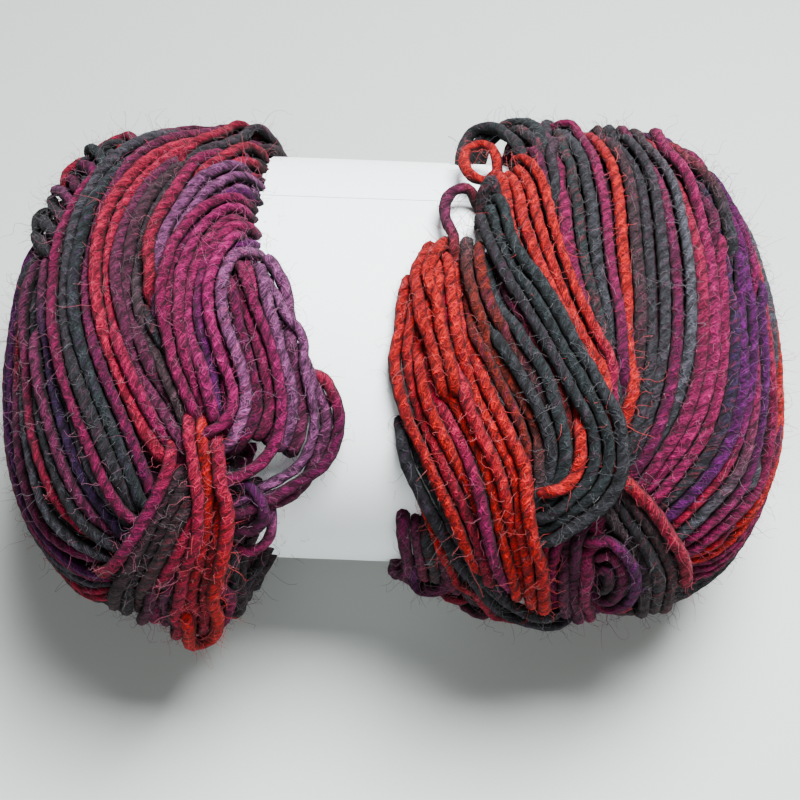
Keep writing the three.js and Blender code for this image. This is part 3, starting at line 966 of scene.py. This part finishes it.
def workshop(name, **settings):
    """An empty Geometry Nodes tree with a geometry input, and one input for each setting."""
    tree = bpy.data.node_groups.new(name, "GeometryNodeTree")
    tree.interface.new_socket("Geometry", in_out="INPUT", socket_type="NodeSocketGeometry")
    tree.interface.new_socket("Geometry", in_out="OUTPUT", socket_type="NodeSocketGeometry")
    for label, kind in settings.items():
        tree.interface.new_socket(label, in_out="INPUT", socket_type=KINDS[kind])
    inputs = tree.nodes.new("NodeGroupInput")
    return tree, {socket.name: Value(inputs, socket.name) for socket in inputs.outputs if socket.name}


def finished(tree, geometry, material):
    """Realize Instances, Set Material and the group's output."""
    real = result(tree, "GeometryNodeRealizeInstances", None, {"Geometry": geometry})
    painted = result(tree, "GeometryNodeSetMaterial", None, {"Geometry": real, "Material": material})
    add(tree, "NodeGroupOutput", None, {"Geometry": painted})


def worked(piece, tree, **settings):
    """The piece with the tree's result as its own plain mesh."""
    modifier = piece.modifiers.new(tree.name, "NODES")
    modifier.node_group = tree
    for item in tree.interface.items_tree:
        if item.item_type == "SOCKET" and item.in_out == "INPUT" and item.name in settings:
            modifier[item.identifier] = settings[item.name]
    piece.update_tag()
    graph = bpy.context.evaluated_depsgraph_get()
    graph.update()
    mesh = bpy.data.meshes.new_from_object(piece.evaluated_get(graph), depsgraph=graph)
    piece.modifiers.clear()
    before, piece.data = piece.data, mesh
    bpy.data.meshes.remove(before)
    mesh.name = piece.name
    return piece


def triangles(piece):
    return sum(len(face.vertices) - 2 for face in piece.data.polygons)


print("workshop ready")

# %% [markdown]
# ## Materials
#
# The wool takes its colours from what every point carries. `section` is a point's place on the
# strand's cross-section and `turn` is how far the two plies have wound there. Turned by that
# angle, the place tells how near a point is to the groove between the plies, and noise that is
# fine across it and long along the run draws fibres that wind round the strand. Thin wandering
# lines over all of that stand for the hairs that lie across the strands. An image could show the
# same, but it would be flat, and it would need a map of every strand.

# %% Material helpers
DULL = 0.15


def principled(name, roughness, sheen=0.0):
    """A material and its tree, with the uniform values on the shader's own sockets."""
    material = bpy.data.materials.new(name)
    material.use_nodes = True
    tree = material.node_tree
    shader = tree.nodes["Principled BSDF"]
    shader.inputs["Roughness"].default_value = roughness
    shader.inputs["Sheen Weight"].default_value = sheen
    shader.inputs["Specular IOR Level"].default_value = DULL
    return material, tree, shader


def bump(tree, height, strength, distance):
    return result(tree, "ShaderNodeBump", None,
                  {"Height": height, "Strength": strength, "Distance": distance})


def thread_like(tree, at, scale):
    """Thin wandering lines: the places where noise passes through its middle value."""
    off_middle = reckon("ABSOLUTE", noise(tree, at, scale, 1.0) - 0.5)
    return 1 - between(off_middle, 0.004, 0.030)


print("material helpers ready")

# %% [markdown]
# ### The wool
#
# How light a point is comes from four things multiplied: the streaks of single fibres, cloudy
# blotches of uneven dye, painted shade in the groove between the plies, and painted shade by how far
# the point faces out of the hank. Its hue is its own tint, drawn in places towards a second one, as
# blended wool is.

# %% Wool
DYE = 0.27
FIBRE_SCALE, HUE_SCALE, BLOTCH_SCALE, FLECK_SCALE = 4.6, 1.3, 1.6, 10.0
FIBRE_RANGE, HUE_RANGE = (0.34, 0.66), (0.48, 0.66)
BLOTCH_RANGE, FLECK_RANGE = (0.32, 0.68), (0.60, 0.76)
FIBRE_STRETCH, HUE_STRETCH, BLOTCH_STRETCH = 0.16, 0.30, 0.45
PALE_FIBRE = (0.45, 0.38, 0.43, 1)
WISP_SCALES = (260.0, 430.0)
WOOL_RELIEF = 0.00045


def wool():
    material, tree, shader = principled("hand-dyed wool", 0.9, 0.02)
    section = add(tree, "ShaderNodeSeparateXYZ", None, {0: own(tree, "section", "Vector")})
    x, y = Value(section, "X"), Value(section, "Y")
    along, turn = own(tree, "along", "Fac"), own(tree, "turn", "Fac")
    cos, sin = reckon("COSINE", turn), reckon("SINE", turn)
    over, aside = x * cos + y * sin, y * cos - x * sin
    ply = reckon("ABSOLUTE", over) ** 0.75
    spun = vector(tree, over, aside, along * FIBRE_STRETCH)
    streaks = noise(tree, spun, FIBRE_SCALE, 3.0, 0.7)
    flecks = noise(tree, spun, FLECK_SCALE, 2.0, 0.6)
    hues = noise(tree, vector(tree, over, aside, along * HUE_STRETCH), HUE_SCALE, 2.0, 0.6)
    cloudy = vector(tree, over * 0.6, aside * 0.6, along * BLOTCH_STRETCH)
    blotches = noise(tree, cloudy, BLOTCH_SCALE, 2.0, 0.6)
    coarse, fine = (thread_like(tree, in_object(tree), scale) for scale in WISP_SCALES)
    wisps = coarse + fine
    fibres = 0.22 + between(streaks, *FIBRE_RANGE) * 1.55
    clouds = 0.52 + between(blotches, *BLOTCH_RANGE) * 0.88
    facing = own(tree, "facing", "Fac")
    # Painted shade: the groove between the plies and the sides that face into the hank are darkened.
    light = fibres * clouds * (0.36 + ply * 0.80) * facing
    tint = own(tree, "tint", "Color")
    other = blended(tree, between(hues, *HUE_RANGE) * 0.55, tint, own(tree, "second", "Color"))
    pale = blended(tree, between(flecks, *FLECK_RANGE) * 0.14, other, PALE_FIBRE)
    # The wisps are darkened by the same painted shade on the sides that face in.
    dye_hairs_and_painted_shade = light + wisps * facing * 0.65
    plug(tree, shader.inputs["Base Color"], scaled(pale, dye_hairs_and_painted_shade * DYE))
    relief = ply * 0.8 + streaks * 1.3 + flecks * 0.4 + wisps * 0.5
    plug(tree, shader.inputs["Normal"], bump(tree, relief, 0.9, WOOL_RELIEF))
    return material


WOOL = wool()
print("wool:", len(WOOL.node_tree.nodes), "nodes")

# %% [markdown]
# ### Loose fibres, inner shade, paper and tabletop
#
# The fibres keep the tint of the strand that they grow on. The core is painted shade, a dark that
# changes a little from place to place, since only slits of it show. The paper is nearly smooth, with a
# faint cloudiness, and the tabletop is plain.

# %% Other materials
def fuzz():
    material, tree, shader = principled("loose fibres", 0.7, 0.2)
    greyed = blended(tree, 0.25, own(tree, "tint", "Color"), (0.20, 0.16, 0.18, 1))
    plug(tree, shader.inputs["Base Color"], scaled(greyed, 0.55))
    return material


def shade():
    """Painted shade: the dark between and under the runs of the wound yarn."""
    material, tree, shader = principled("inner shade", 0.95)
    patches = between(noise(tree, in_object(tree), 45.0), 0.4, 0.65)
    plug(tree, shader.inputs["Base Color"],
         blended(tree, patches, (0.010, 0.009, 0.011, 1), (0.045, 0.010, 0.022, 1)))
    return material


def paper():
    material, tree, shader = principled("white paper", 0.62)
    fibre = noise(tree, in_object(tree), 900.0, 3.0)
    cloud = noise(tree, in_object(tree), 22.0, 2.0)
    plug(tree, shader.inputs["Base Color"],
         blended(tree, between(cloud, 0.3, 0.7), (0.86, 0.90, 0.92, 1), (0.89, 0.93, 0.95, 1)))
    plug(tree, shader.inputs["Normal"], bump(tree, fibre, 0.25, 0.00006))
    return material


def tabletop():
    material, _, shader = principled("pale tabletop", 0.5)
    shader.inputs["Base Color"].default_value = (0.49, 0.52, 0.50, 1)
    return material


FUZZ, SHADE, WHITE_PAPER, TABLETOP = fuzz(), shade(), paper(), tabletop()
print("materials:", ", ".join(material.name for material in bpy.data.materials))

# %% [markdown]
# ## Spinning the yarn
#
# The tree turns each line of edges into a curve and sweeps a circle along it. Curve to Mesh hands
# the attributes of both curves on to the mesh, so each point then knows its place on the section
# and the turn of the plies, and is drawn in where the groove between the plies runs. A bevelled
# curve object would make the same tube, but it would not carry those attributes.

# %% Spin yarn
GROOVE = 0.11


def named(tree, name, data_type="FLOAT"):
    """A named attribute, in Geometry Nodes."""
    return result(tree, "GeometryNodeInputNamedAttribute", {"data_type": data_type},
                  {"Name": name}, "Attribute")


def circle(tree, sides, radius):
    """A ring of points, to sweep along a curve."""
    return result(tree, "GeometryNodeCurvePrimitiveCircle", {"mode": "RADIUS"},
                  {"Resolution": sides, "Radius": radius})


def moved(tree, geometry, **how):
    """Set Position, with its Position or its Offset."""
    return result(tree, "GeometryNodeSetPosition", None, {"Geometry": geometry, **how})


def swept(tree, rail, radius, profile):
    """A closed skin along the rails, as thick as the radius says."""
    sized = result(tree, "GeometryNodeSetCurveRadius", None, {"Curve": rail, "Radius": radius})
    skin = add(tree, "GeometryNodeCurveToMesh", None,
               {"Curve": sized, "Profile Curve": profile, "Fill Caps": True})
    if "Scale" in skin.inputs:
        plug(tree, skin.inputs["Scale"], result(tree, "GeometryNodeInputRadius"))
    return Value(skin)


def smoothed(tree, geometry):
    return result(tree, "GeometryNodeSetShadeSmooth", None, {"Geometry": geometry, "Shade Smooth": True})


def spin_yarn():
    tree, inputs = workshop("Spin yarn", Radius=float, Groove=float, Sides=int, Material="material")
    lines = result(tree, "GeometryNodeMeshToCurve", None, {"Mesh": inputs["Geometry"]})
    marked = result(tree, "GeometryNodeStoreNamedAttribute",
                    {"data_type": "FLOAT_VECTOR", "domain": "POINT"},
                    {"Geometry": circle(tree, inputs["Sides"], 1.0), "Name": "section",
                     "Value": result(tree, "GeometryNodeInputPosition")})
    section = named(tree, "section", "FLOAT_VECTOR")
    profile = moved(tree, marked, Position=scaled(section, inputs["Radius"]))
    skin = swept(tree, lines, named(tree, "thick"), profile)
    place = add(tree, "ShaderNodeSeparateXYZ", None, {0: section})
    turn = named(tree, "turn")
    aside = Value(place, "Y") * reckon("COSINE", turn) - Value(place, "X") * reckon("SINE", turn)
    inward = aside * aside * inputs["Groove"] * inputs["Radius"] * -1
    grooved = moved(tree, skin, Offset=scaled(result(tree, "GeometryNodeInputNormal"), inward))
    finished(tree, smoothed(tree, grooved), inputs["Material"])
    return tree


SPIN_YARN = spin_yarn()
print(SPIN_YARN.name, len(SPIN_YARN.nodes), "nodes")

# %% [markdown]
# ## Stringing the runs
#
# A run enters Blender as a line of edges, and what its points know as attributes. The tree spins
# them all at once. Each point of the finished yarn is then marked with how far it faces out of
# the hank, and the sides that face in are painted dark, as painted shade for the dark between strands.

# %% String and spin the runs
# How dark the painted shade gets on sides that face in, and the facing over which it fades.
DARKEST = 0.05
FACES_IN, FACES_OUT = -0.10, 0.85


def mark(mesh, name, values):
    """One number at each point of a mesh."""
    field = mesh.attributes.new(name, "FLOAT", "POINT")
    field.data.foreach_set("value", values.astype(np.float32))


def strung(name, rows):
    """The runs as lines of edges, with what each point knows as attributes."""
    mesh = bpy.data.meshes.new(name)
    starts = np.cumsum([0] + [len(row["path"]) for row in rows])
    edges = [(i, i + 1) for a, b in zip(starts, starts[1:]) for i in range(a, b - 1)]
    mesh.from_pydata(np.vstack([row["path"] for row in rows]) * MM, edges, [])
    for field in ("along", "turn", "thick"):
        mark(mesh, field, np.concatenate([row[field] for row in rows]))
    for field in ("tint", "second"):
        colour = np.vstack([row[field] for row in rows])
        colour = np.hstack([colour, np.ones((len(colour), 1))]).astype(np.float32)
        mesh.attributes.new(field, "FLOAT_COLOR", "POINT").data.foreach_set("color", colour.ravel())
    return linked(name, mesh)


def shade_sides(piece):
    """Marks how far each point of the yarn faces out of the hank, so that its hidden sides get painted
    shade.
    """
    mesh = piece.data
    at, normal = np.empty(len(mesh.vertices) * 3), np.empty(len(mesh.vertices) * 3)
    mesh.vertices.foreach_get("co", at)
    mesh.vertex_normals.foreach_get("vector", normal)
    at, normal = at.reshape(-1, 3) / MM, normal.reshape(-1, 3)
    facing = (outward(at) * normal).sum(-1)
    mark(mesh, "facing", DARKEST + (1 - DARKEST) * ease((facing - FACES_IN) / (FACES_OUT - FACES_IN)))


yarn = []
for name in PIECE_NAMES:
    rows = [run for run in runs if run["piece"] == name]
    piece = worked(strung(name, rows), SPIN_YARN, Radius=SPUN * STRAND / 2 * MM, Groove=GROOVE,
                   Sides=SECTION_POINTS, Material=WOOL)
    shade_sides(piece)
    yarn.append(piece)
    print(name, len(rows), "runs,", triangles(piece), "triangles")

# %% [markdown]
# ## The core
#
# Under its runs the hank is one closed dark shape, so that no light shows through. Seen from its
# centre every direction meets the surface once, so a sphere's points are moved along their own
# directions until they lie under the form. Where the paper goes round, they are held under the
# paper as well. Metaballs could make such a form too, but not to an exact depth. The sphere
# operator leaves the order of its faces to chance, so they are sorted, and every run of the
# script gives the very same mesh.

# %% Wound core
CORE_DEPTH = 2.7
UNDER_PAPER = -1.2
PAPER_MARGIN = 1.5
CENTRE = np.array((-2.5, 2.0, 42.0))
CORE_ROUND, CORE_RINGS = 96, 56
LOWEST = 0.3


def in_order(mesh):
    """The same faces, sorted by their points."""
    shell = bmesh.new()
    shell.from_mesh(mesh)
    faces = sorted(shell.faces, key=lambda face: sorted(v.index for v in face.verts))
    for i, face in enumerate(faces):
        face.index = i
    shell.faces.sort()
    shell.to_mesh(mesh)
    shell.free()


bpy.ops.mesh.primitive_uv_sphere_add(segments=CORE_ROUND, ring_count=CORE_RINGS, radius=1)
core = bpy.context.object
core.name = "wound_core"
in_order(core.data)
directions = unit(np.array([v.co for v in core.data.vertices]))
points = cast(CENTRE, directions, CORE_DEPTH)
level, away = off_paper(points)
beside = np.abs(to_band(points)[:, 0]) < BAND["half"][0] + PAPER_MARGIN
points += away * np.where(beside, np.minimum(level, UNDER_PAPER) - level, 0)[:, None]
points[:, 2] = np.maximum(points[:, 2], LOWEST)
core.data.vertices.foreach_set("co", (points * MM).astype(np.float32).ravel())
core.data.polygons.foreach_set("use_smooth", [True] * len(core.data.polygons))
# The core's near-black colour is painted shade for the dark between and under the runs.
core.data.materials.append(SHADE)
print("wound_core", triangles(core), "triangles")

# %% [markdown]
# ## The paper band
#
# One strip goes round the waist and laps over its own beginning. It is a grid of cross lines, a
# degree or two apart, with an inner and an outer face. The last part lies on the first and runs
# out thin, and the strip was stuck a little out of true, so its corner stands out at the edge. A
# thin box with Solidify would give the ring, but not the lap.

# %% Paper band
LAP = (24.0, 60.0)
LAP_LIFT = 0.30
LAP_RISE, LAP_FEATHER, LAP_DIP = 10.0, 5.0, 8.0
THINNEST, DIP = 0.15, 0.12
RIPPLE, FINE_RIPPLE, EDGE_RIPPLE = 0.10, 0.06, 0.12
SKEW = -0.9
WIDER = 0.8
BAND_ROUND = 240
BAND_ACROSS = 12
CREASE = math.radians(40)


def band_point(angle, across, height):
    """A point of the band: degrees round from +Y, millimetres across, millimetres off the form."""
    a = np.radians(angle)
    y, z = np.cos(a), np.sin(a)
    reach = drum(y, z) ** (-1 / BAND_POWER)
    c, s = math.cos(BAND["yaw"]), math.sin(BAND["yaw"])
    y, z = y * (reach + height), z * (reach + height)
    return np.stack([across * c - y * s, across * s + y * c, z], -1) + BAND["centre"]


def band_faces():
    """Outer and inner points of the strip, as two grids."""
    turn = np.linspace(LAP[0], LAP[1] + 360, BAND_ROUND)
    angle, side = np.meshgrid(turn, np.linspace(-1, 1, BAND_ACROSS), indexing="ij")
    a = np.radians(angle)
    progress = (angle - LAP[0]) / (360 + LAP[1] - LAP[0])
    lapped = ease((angle - 360 - LAP[0] + LAP_RISE) / LAP_RISE) * LAP_LIFT
    feather = THINNEST + (1 - THINNEST) * ease((LAP[1] + 360 - angle) / LAP_FEATHER)
    dip = ease((LAP[1] + LAP_DIP - angle) / LAP_DIP) * DIP
    ripple = RIPPLE * np.sin(a * 5 + side * 1.3) + FINE_RIPPLE * np.sin(a * 11)
    edge = side * (BAND["half"][0] + WIDER) - WIDER / 2
    edge = edge + SKEW * (0.5 - progress) + EDGE_RIPPLE * np.sin(a * 7)
    height = lapped * feather + ripple - dip
    return band_point(angle, edge, height), band_point(angle, edge, height - PAPER * feather)


def closed_strip(count, shape):
    """Faces over both grids, and round their rim."""
    index = np.arange(count).reshape(shape)
    faces = []
    for i in range(BAND_ROUND - 1):
        for j in range(BAND_ACROSS - 1):
            a, b, c, d = index[i, j], index[i, j + 1], index[i + 1, j + 1], index[i + 1, j]
            faces.append((a, b, c, d))
            faces.append((d + count, c + count, b + count, a + count))
    broad = len(faces)
    rim = [*index[:, 0], *index[-1, 1:], *index[-2::-1, -1], *index[0, -2:0:-1]]
    faces.extend((a, b, b + count, a + count) for a, b in zip(rim, rim[1:] + rim[:1]))
    return [[int(v) for v in face] for face in faces], broad


def paper_band():
    """The finished strip."""
    outer, inner = band_faces()
    faces, broad = closed_strip(BAND_ROUND * BAND_ACROSS, outer.shape[:2])
    mesh = bpy.data.meshes.new("paper_band")
    mesh.from_pydata(np.vstack([outer.reshape(-1, 3), inner.reshape(-1, 3)]) * MM, [], faces)
    mesh.polygons.foreach_set("use_smooth", [k < broad for k in range(len(faces))])
    mesh.materials.append(WHITE_PAPER)
    shell = bmesh.new()
    shell.from_mesh(mesh)
    bmesh.ops.recalc_face_normals(shell, faces=shell.faces)
    shell.to_mesh(mesh)
    shell.free()
    mesh.set_sharp_from_angle(angle=CREASE)
    return linked("paper_band", mesh)


band = paper_band()
print("paper_band", triangles(band), "triangles")

# %% [markdown]
# ## Raising the nap
#
# Fibres stand off spun wool all over. The tree scatters points on the yarn, stands a line on each
# of them along the surface's direction, bends the lines with noise that grows towards their tips,
# and sweeps a thin three-sided section along them. Hair curves would be quicker, but they are not
# meshes, and every piece here is made as a mesh.

# %% Raise the nap
SHORTEST_SHARE = 0.35
TAPER = 0.6
TABLE_GAP = 0.0004


def raise_nap():
    tree, inputs = workshop("Raise the nap", Density=float, Length=float, Spread=float, Curl=float,
                            Wave=float, Thickness=float, Steps=int, Seed=int, Material="material")
    scatter = add(tree, "GeometryNodeDistributePointsOnFaces", None,
                  {"Mesh": inputs["Geometry"], "Density": inputs["Density"], "Seed": inputs["Seed"]})
    lean = result(tree, "FunctionNodeRandomValue", {"data_type": "FLOAT_VECTOR"},
                  {"Min": (-1, -1, -1), "Max": (1, 1, 1), "Seed": inputs["Seed"]}, "Value")
    toward = result(tree, "ShaderNodeVectorMath", {"operation": "ADD"},
                    {0: Value(scatter, "Normal"), 1: scaled(lean, inputs["Spread"])})
    stand = result(tree, "FunctionNodeAlignRotationToVector", {"axis": "Z"}, {"Vector": toward})
    line = result(tree, "GeometryNodeCurvePrimitiveLine", None, {"End": (0, 0, 1)})
    fine = result(tree, "GeometryNodeResampleCurve", None, {"Curve": line, "Count": inputs["Steps"]})
    share = result(tree, "FunctionNodeRandomValue", {"data_type": "FLOAT"},
                   {"Min": SHORTEST_SHARE, "Max": 1.0, "Seed": inputs["Seed"]}, "Value")
    size = share * inputs["Length"]
    placed = result(tree, "GeometryNodeInstanceOnPoints", None,
                    {"Points": Value(scatter, "Points"), "Instance": fine, "Rotation": stand,
                     "Scale": vector(tree, size, size, size)})
    loose = result(tree, "GeometryNodeRealizeInstances", None, {"Geometry": placed})
    progress = result(tree, "GeometryNodeSplineParameter", key="Factor")
    bent = moved(tree, loose, Offset=scaled(swirl(tree, inputs["Wave"]), inputs["Curl"] * progress))
    kept = moved(tree, bent, Position=above_table(tree))
    hairs = swept(tree, kept, 1 - progress * TAPER, circle(tree, 3, inputs["Thickness"]))
    finished(tree, smoothed(tree, hairs), inputs["Material"])
    return tree


def swirl(tree, wave):
    """A noise vector at each point, with its middle at nothing."""
    noisy = result(tree, "ShaderNodeTexNoise", {"noise_dimensions": "3D"},
                   {"Vector": result(tree, "GeometryNodeInputPosition"), "Scale": wave, "Detail": 1.0},
                   "Color")
    return result(tree, "ShaderNodeVectorMath", {"operation": "SUBTRACT"},
                  {0: noisy, 1: (0.5, 0.5, 0.5)})


def above_table(tree):
    """A point's own place, raised where it would dip into the table."""
    spot = add(tree, "ShaderNodeSeparateXYZ", None, {0: result(tree, "GeometryNodeInputPosition")})
    raised = reckon("MAXIMUM", Value(spot, "Z"), TABLE_GAP)
    return vector(tree, Value(spot, "X"), Value(spot, "Y"), raised)


RAISE_NAP = raise_nap()
print(RAISE_NAP.name, len(RAISE_NAP.nodes), "nodes")

# %% [markdown]
# ## Where the fibres grow
#
# Short fibres make the nap, and long curly ones fly off it. Each row of the table below names a
# piece of nap, the first and last of the yarn's pieces that it grows on, the kind of fibre, the
# points along each, their number and a number for the random seed.

# %% Grow the fibres
def copy_of(pieces, name):
    """The pieces' meshes as one new object, for fibres to grow on."""
    mesh = bpy.data.meshes.new(name)
    joined = bmesh.new()
    for piece in pieces:
        joined.from_mesh(piece.data)
    joined.to_mesh(mesh)
    joined.free()
    return linked(name, mesh)


SHORT = {"Length": 0.0042, "Spread": 1.7, "Curl": 0.0095, "Wave": 330.0, "Thickness": 0.00005}
LONG = {"Length": 0.0060, "Spread": 1.0, "Curl": 0.0230, "Wave": 250.0, "Thickness": 0.000055}
FIBRES = {
    "left_nap": (0, 2, SHORT, 6, 5800, 1),
    "right_nap": (2, 4, SHORT, 6, 5900, 2),
    "turns_nap": (4, 6, SHORT, 5, 4500, 3),
    "long_fibres": (0, 6, LONG, 13, 1700, 4),
}
fibres = []
for name, (start, stop, shape, steps, count, seed) in FIBRES.items():
    ground = copy_of(yarn[start:stop], name)
    area = sum(face.area for face in ground.data.polygons)
    piece = worked(ground, RAISE_NAP, Density=count / area, Steps=steps, Seed=SEED + seed,
                   Material=FUZZ, **shape)
    fibres.append(piece)
    print(name, count, "fibres,", triangles(piece), "triangles")

# %% [markdown]
# ## Table, light and camera
#
# The table is a plain pale plane with no edge in sight. A large light hangs high behind the hank,
# so its shadow is soft and falls towards the viewer. A weaker one in front and a dim sky fill the
# shadow in. The camera sits at the eye from which the routes were drawn.

# %% Table, light and camera
TABLE_SIZE = 4.0
SPREAD = math.radians(140)
SENSOR = 36.0
PICTURE_WIDTH = 800

bpy.ops.mesh.primitive_plane_add(size=TABLE_SIZE)
table = bpy.context.object
table.name = "table"
table.data.materials.append(TABLETOP)


def lamp(name, at, toward, size, power, colour):
    """A square light at a place, facing another."""
    data = bpy.data.lights.new(name, "AREA")
    data.size = size
    data.spread = SPREAD
    data.energy = power
    data.color = colour
    light = linked(name, data)
    light.location = at
    light.rotation_euler = (Vector(at) - Vector(toward)).to_track_quat("Z", "Y").to_euler()


lamp("window", (0.16, 0.14, 0.62), (0.10, -0.32, 0.0), 0.34, 14.0, (0.98, 0.995, 1.0))
lamp("room", (0.25, -0.95, 0.60), (0.05, -0.32, 0.0), 0.8, 3.8, (1.0, 0.995, 0.985))

world = bpy.data.worlds.new("soft room")
world.use_nodes = True
world.node_tree.nodes["Background"].inputs["Color"].default_value = (0.93, 0.97, 1.0, 1)
world.node_tree.nodes["Background"].inputs["Strength"].default_value = 0.14
bpy.context.scene.world = world

lens = bpy.data.cameras.new("camera")
lens.sensor_width = SENSOR
lens.lens = SENSOR * STEPS_TO_EYE / PICTURE_WIDTH
lens.clip_start = 0.01
camera = linked("camera", lens)
facing = Matrix([RIGHT, UP, BACK]).transposed().to_quaternion()
camera.matrix_world = Matrix.LocRotScale(Vector(EYE * MM), facing, None)
bpy.context.scene.camera = camera
print("lens", round(lens.lens, 1), "mm")

# %% [markdown]
# ## Handing over
#
# Every piece rides on the one body, and the model's own skein and band, which the pieces dress,
# are hidden.

# %% Hand over
for piece in [core, *yarn, *fibres]:
    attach(piece, "root")
    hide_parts("skein")
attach(band, "root")
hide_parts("band")

print("triangles in all:", sum(triangles(piece) for piece in [core, band, *yarn, *fibres]))
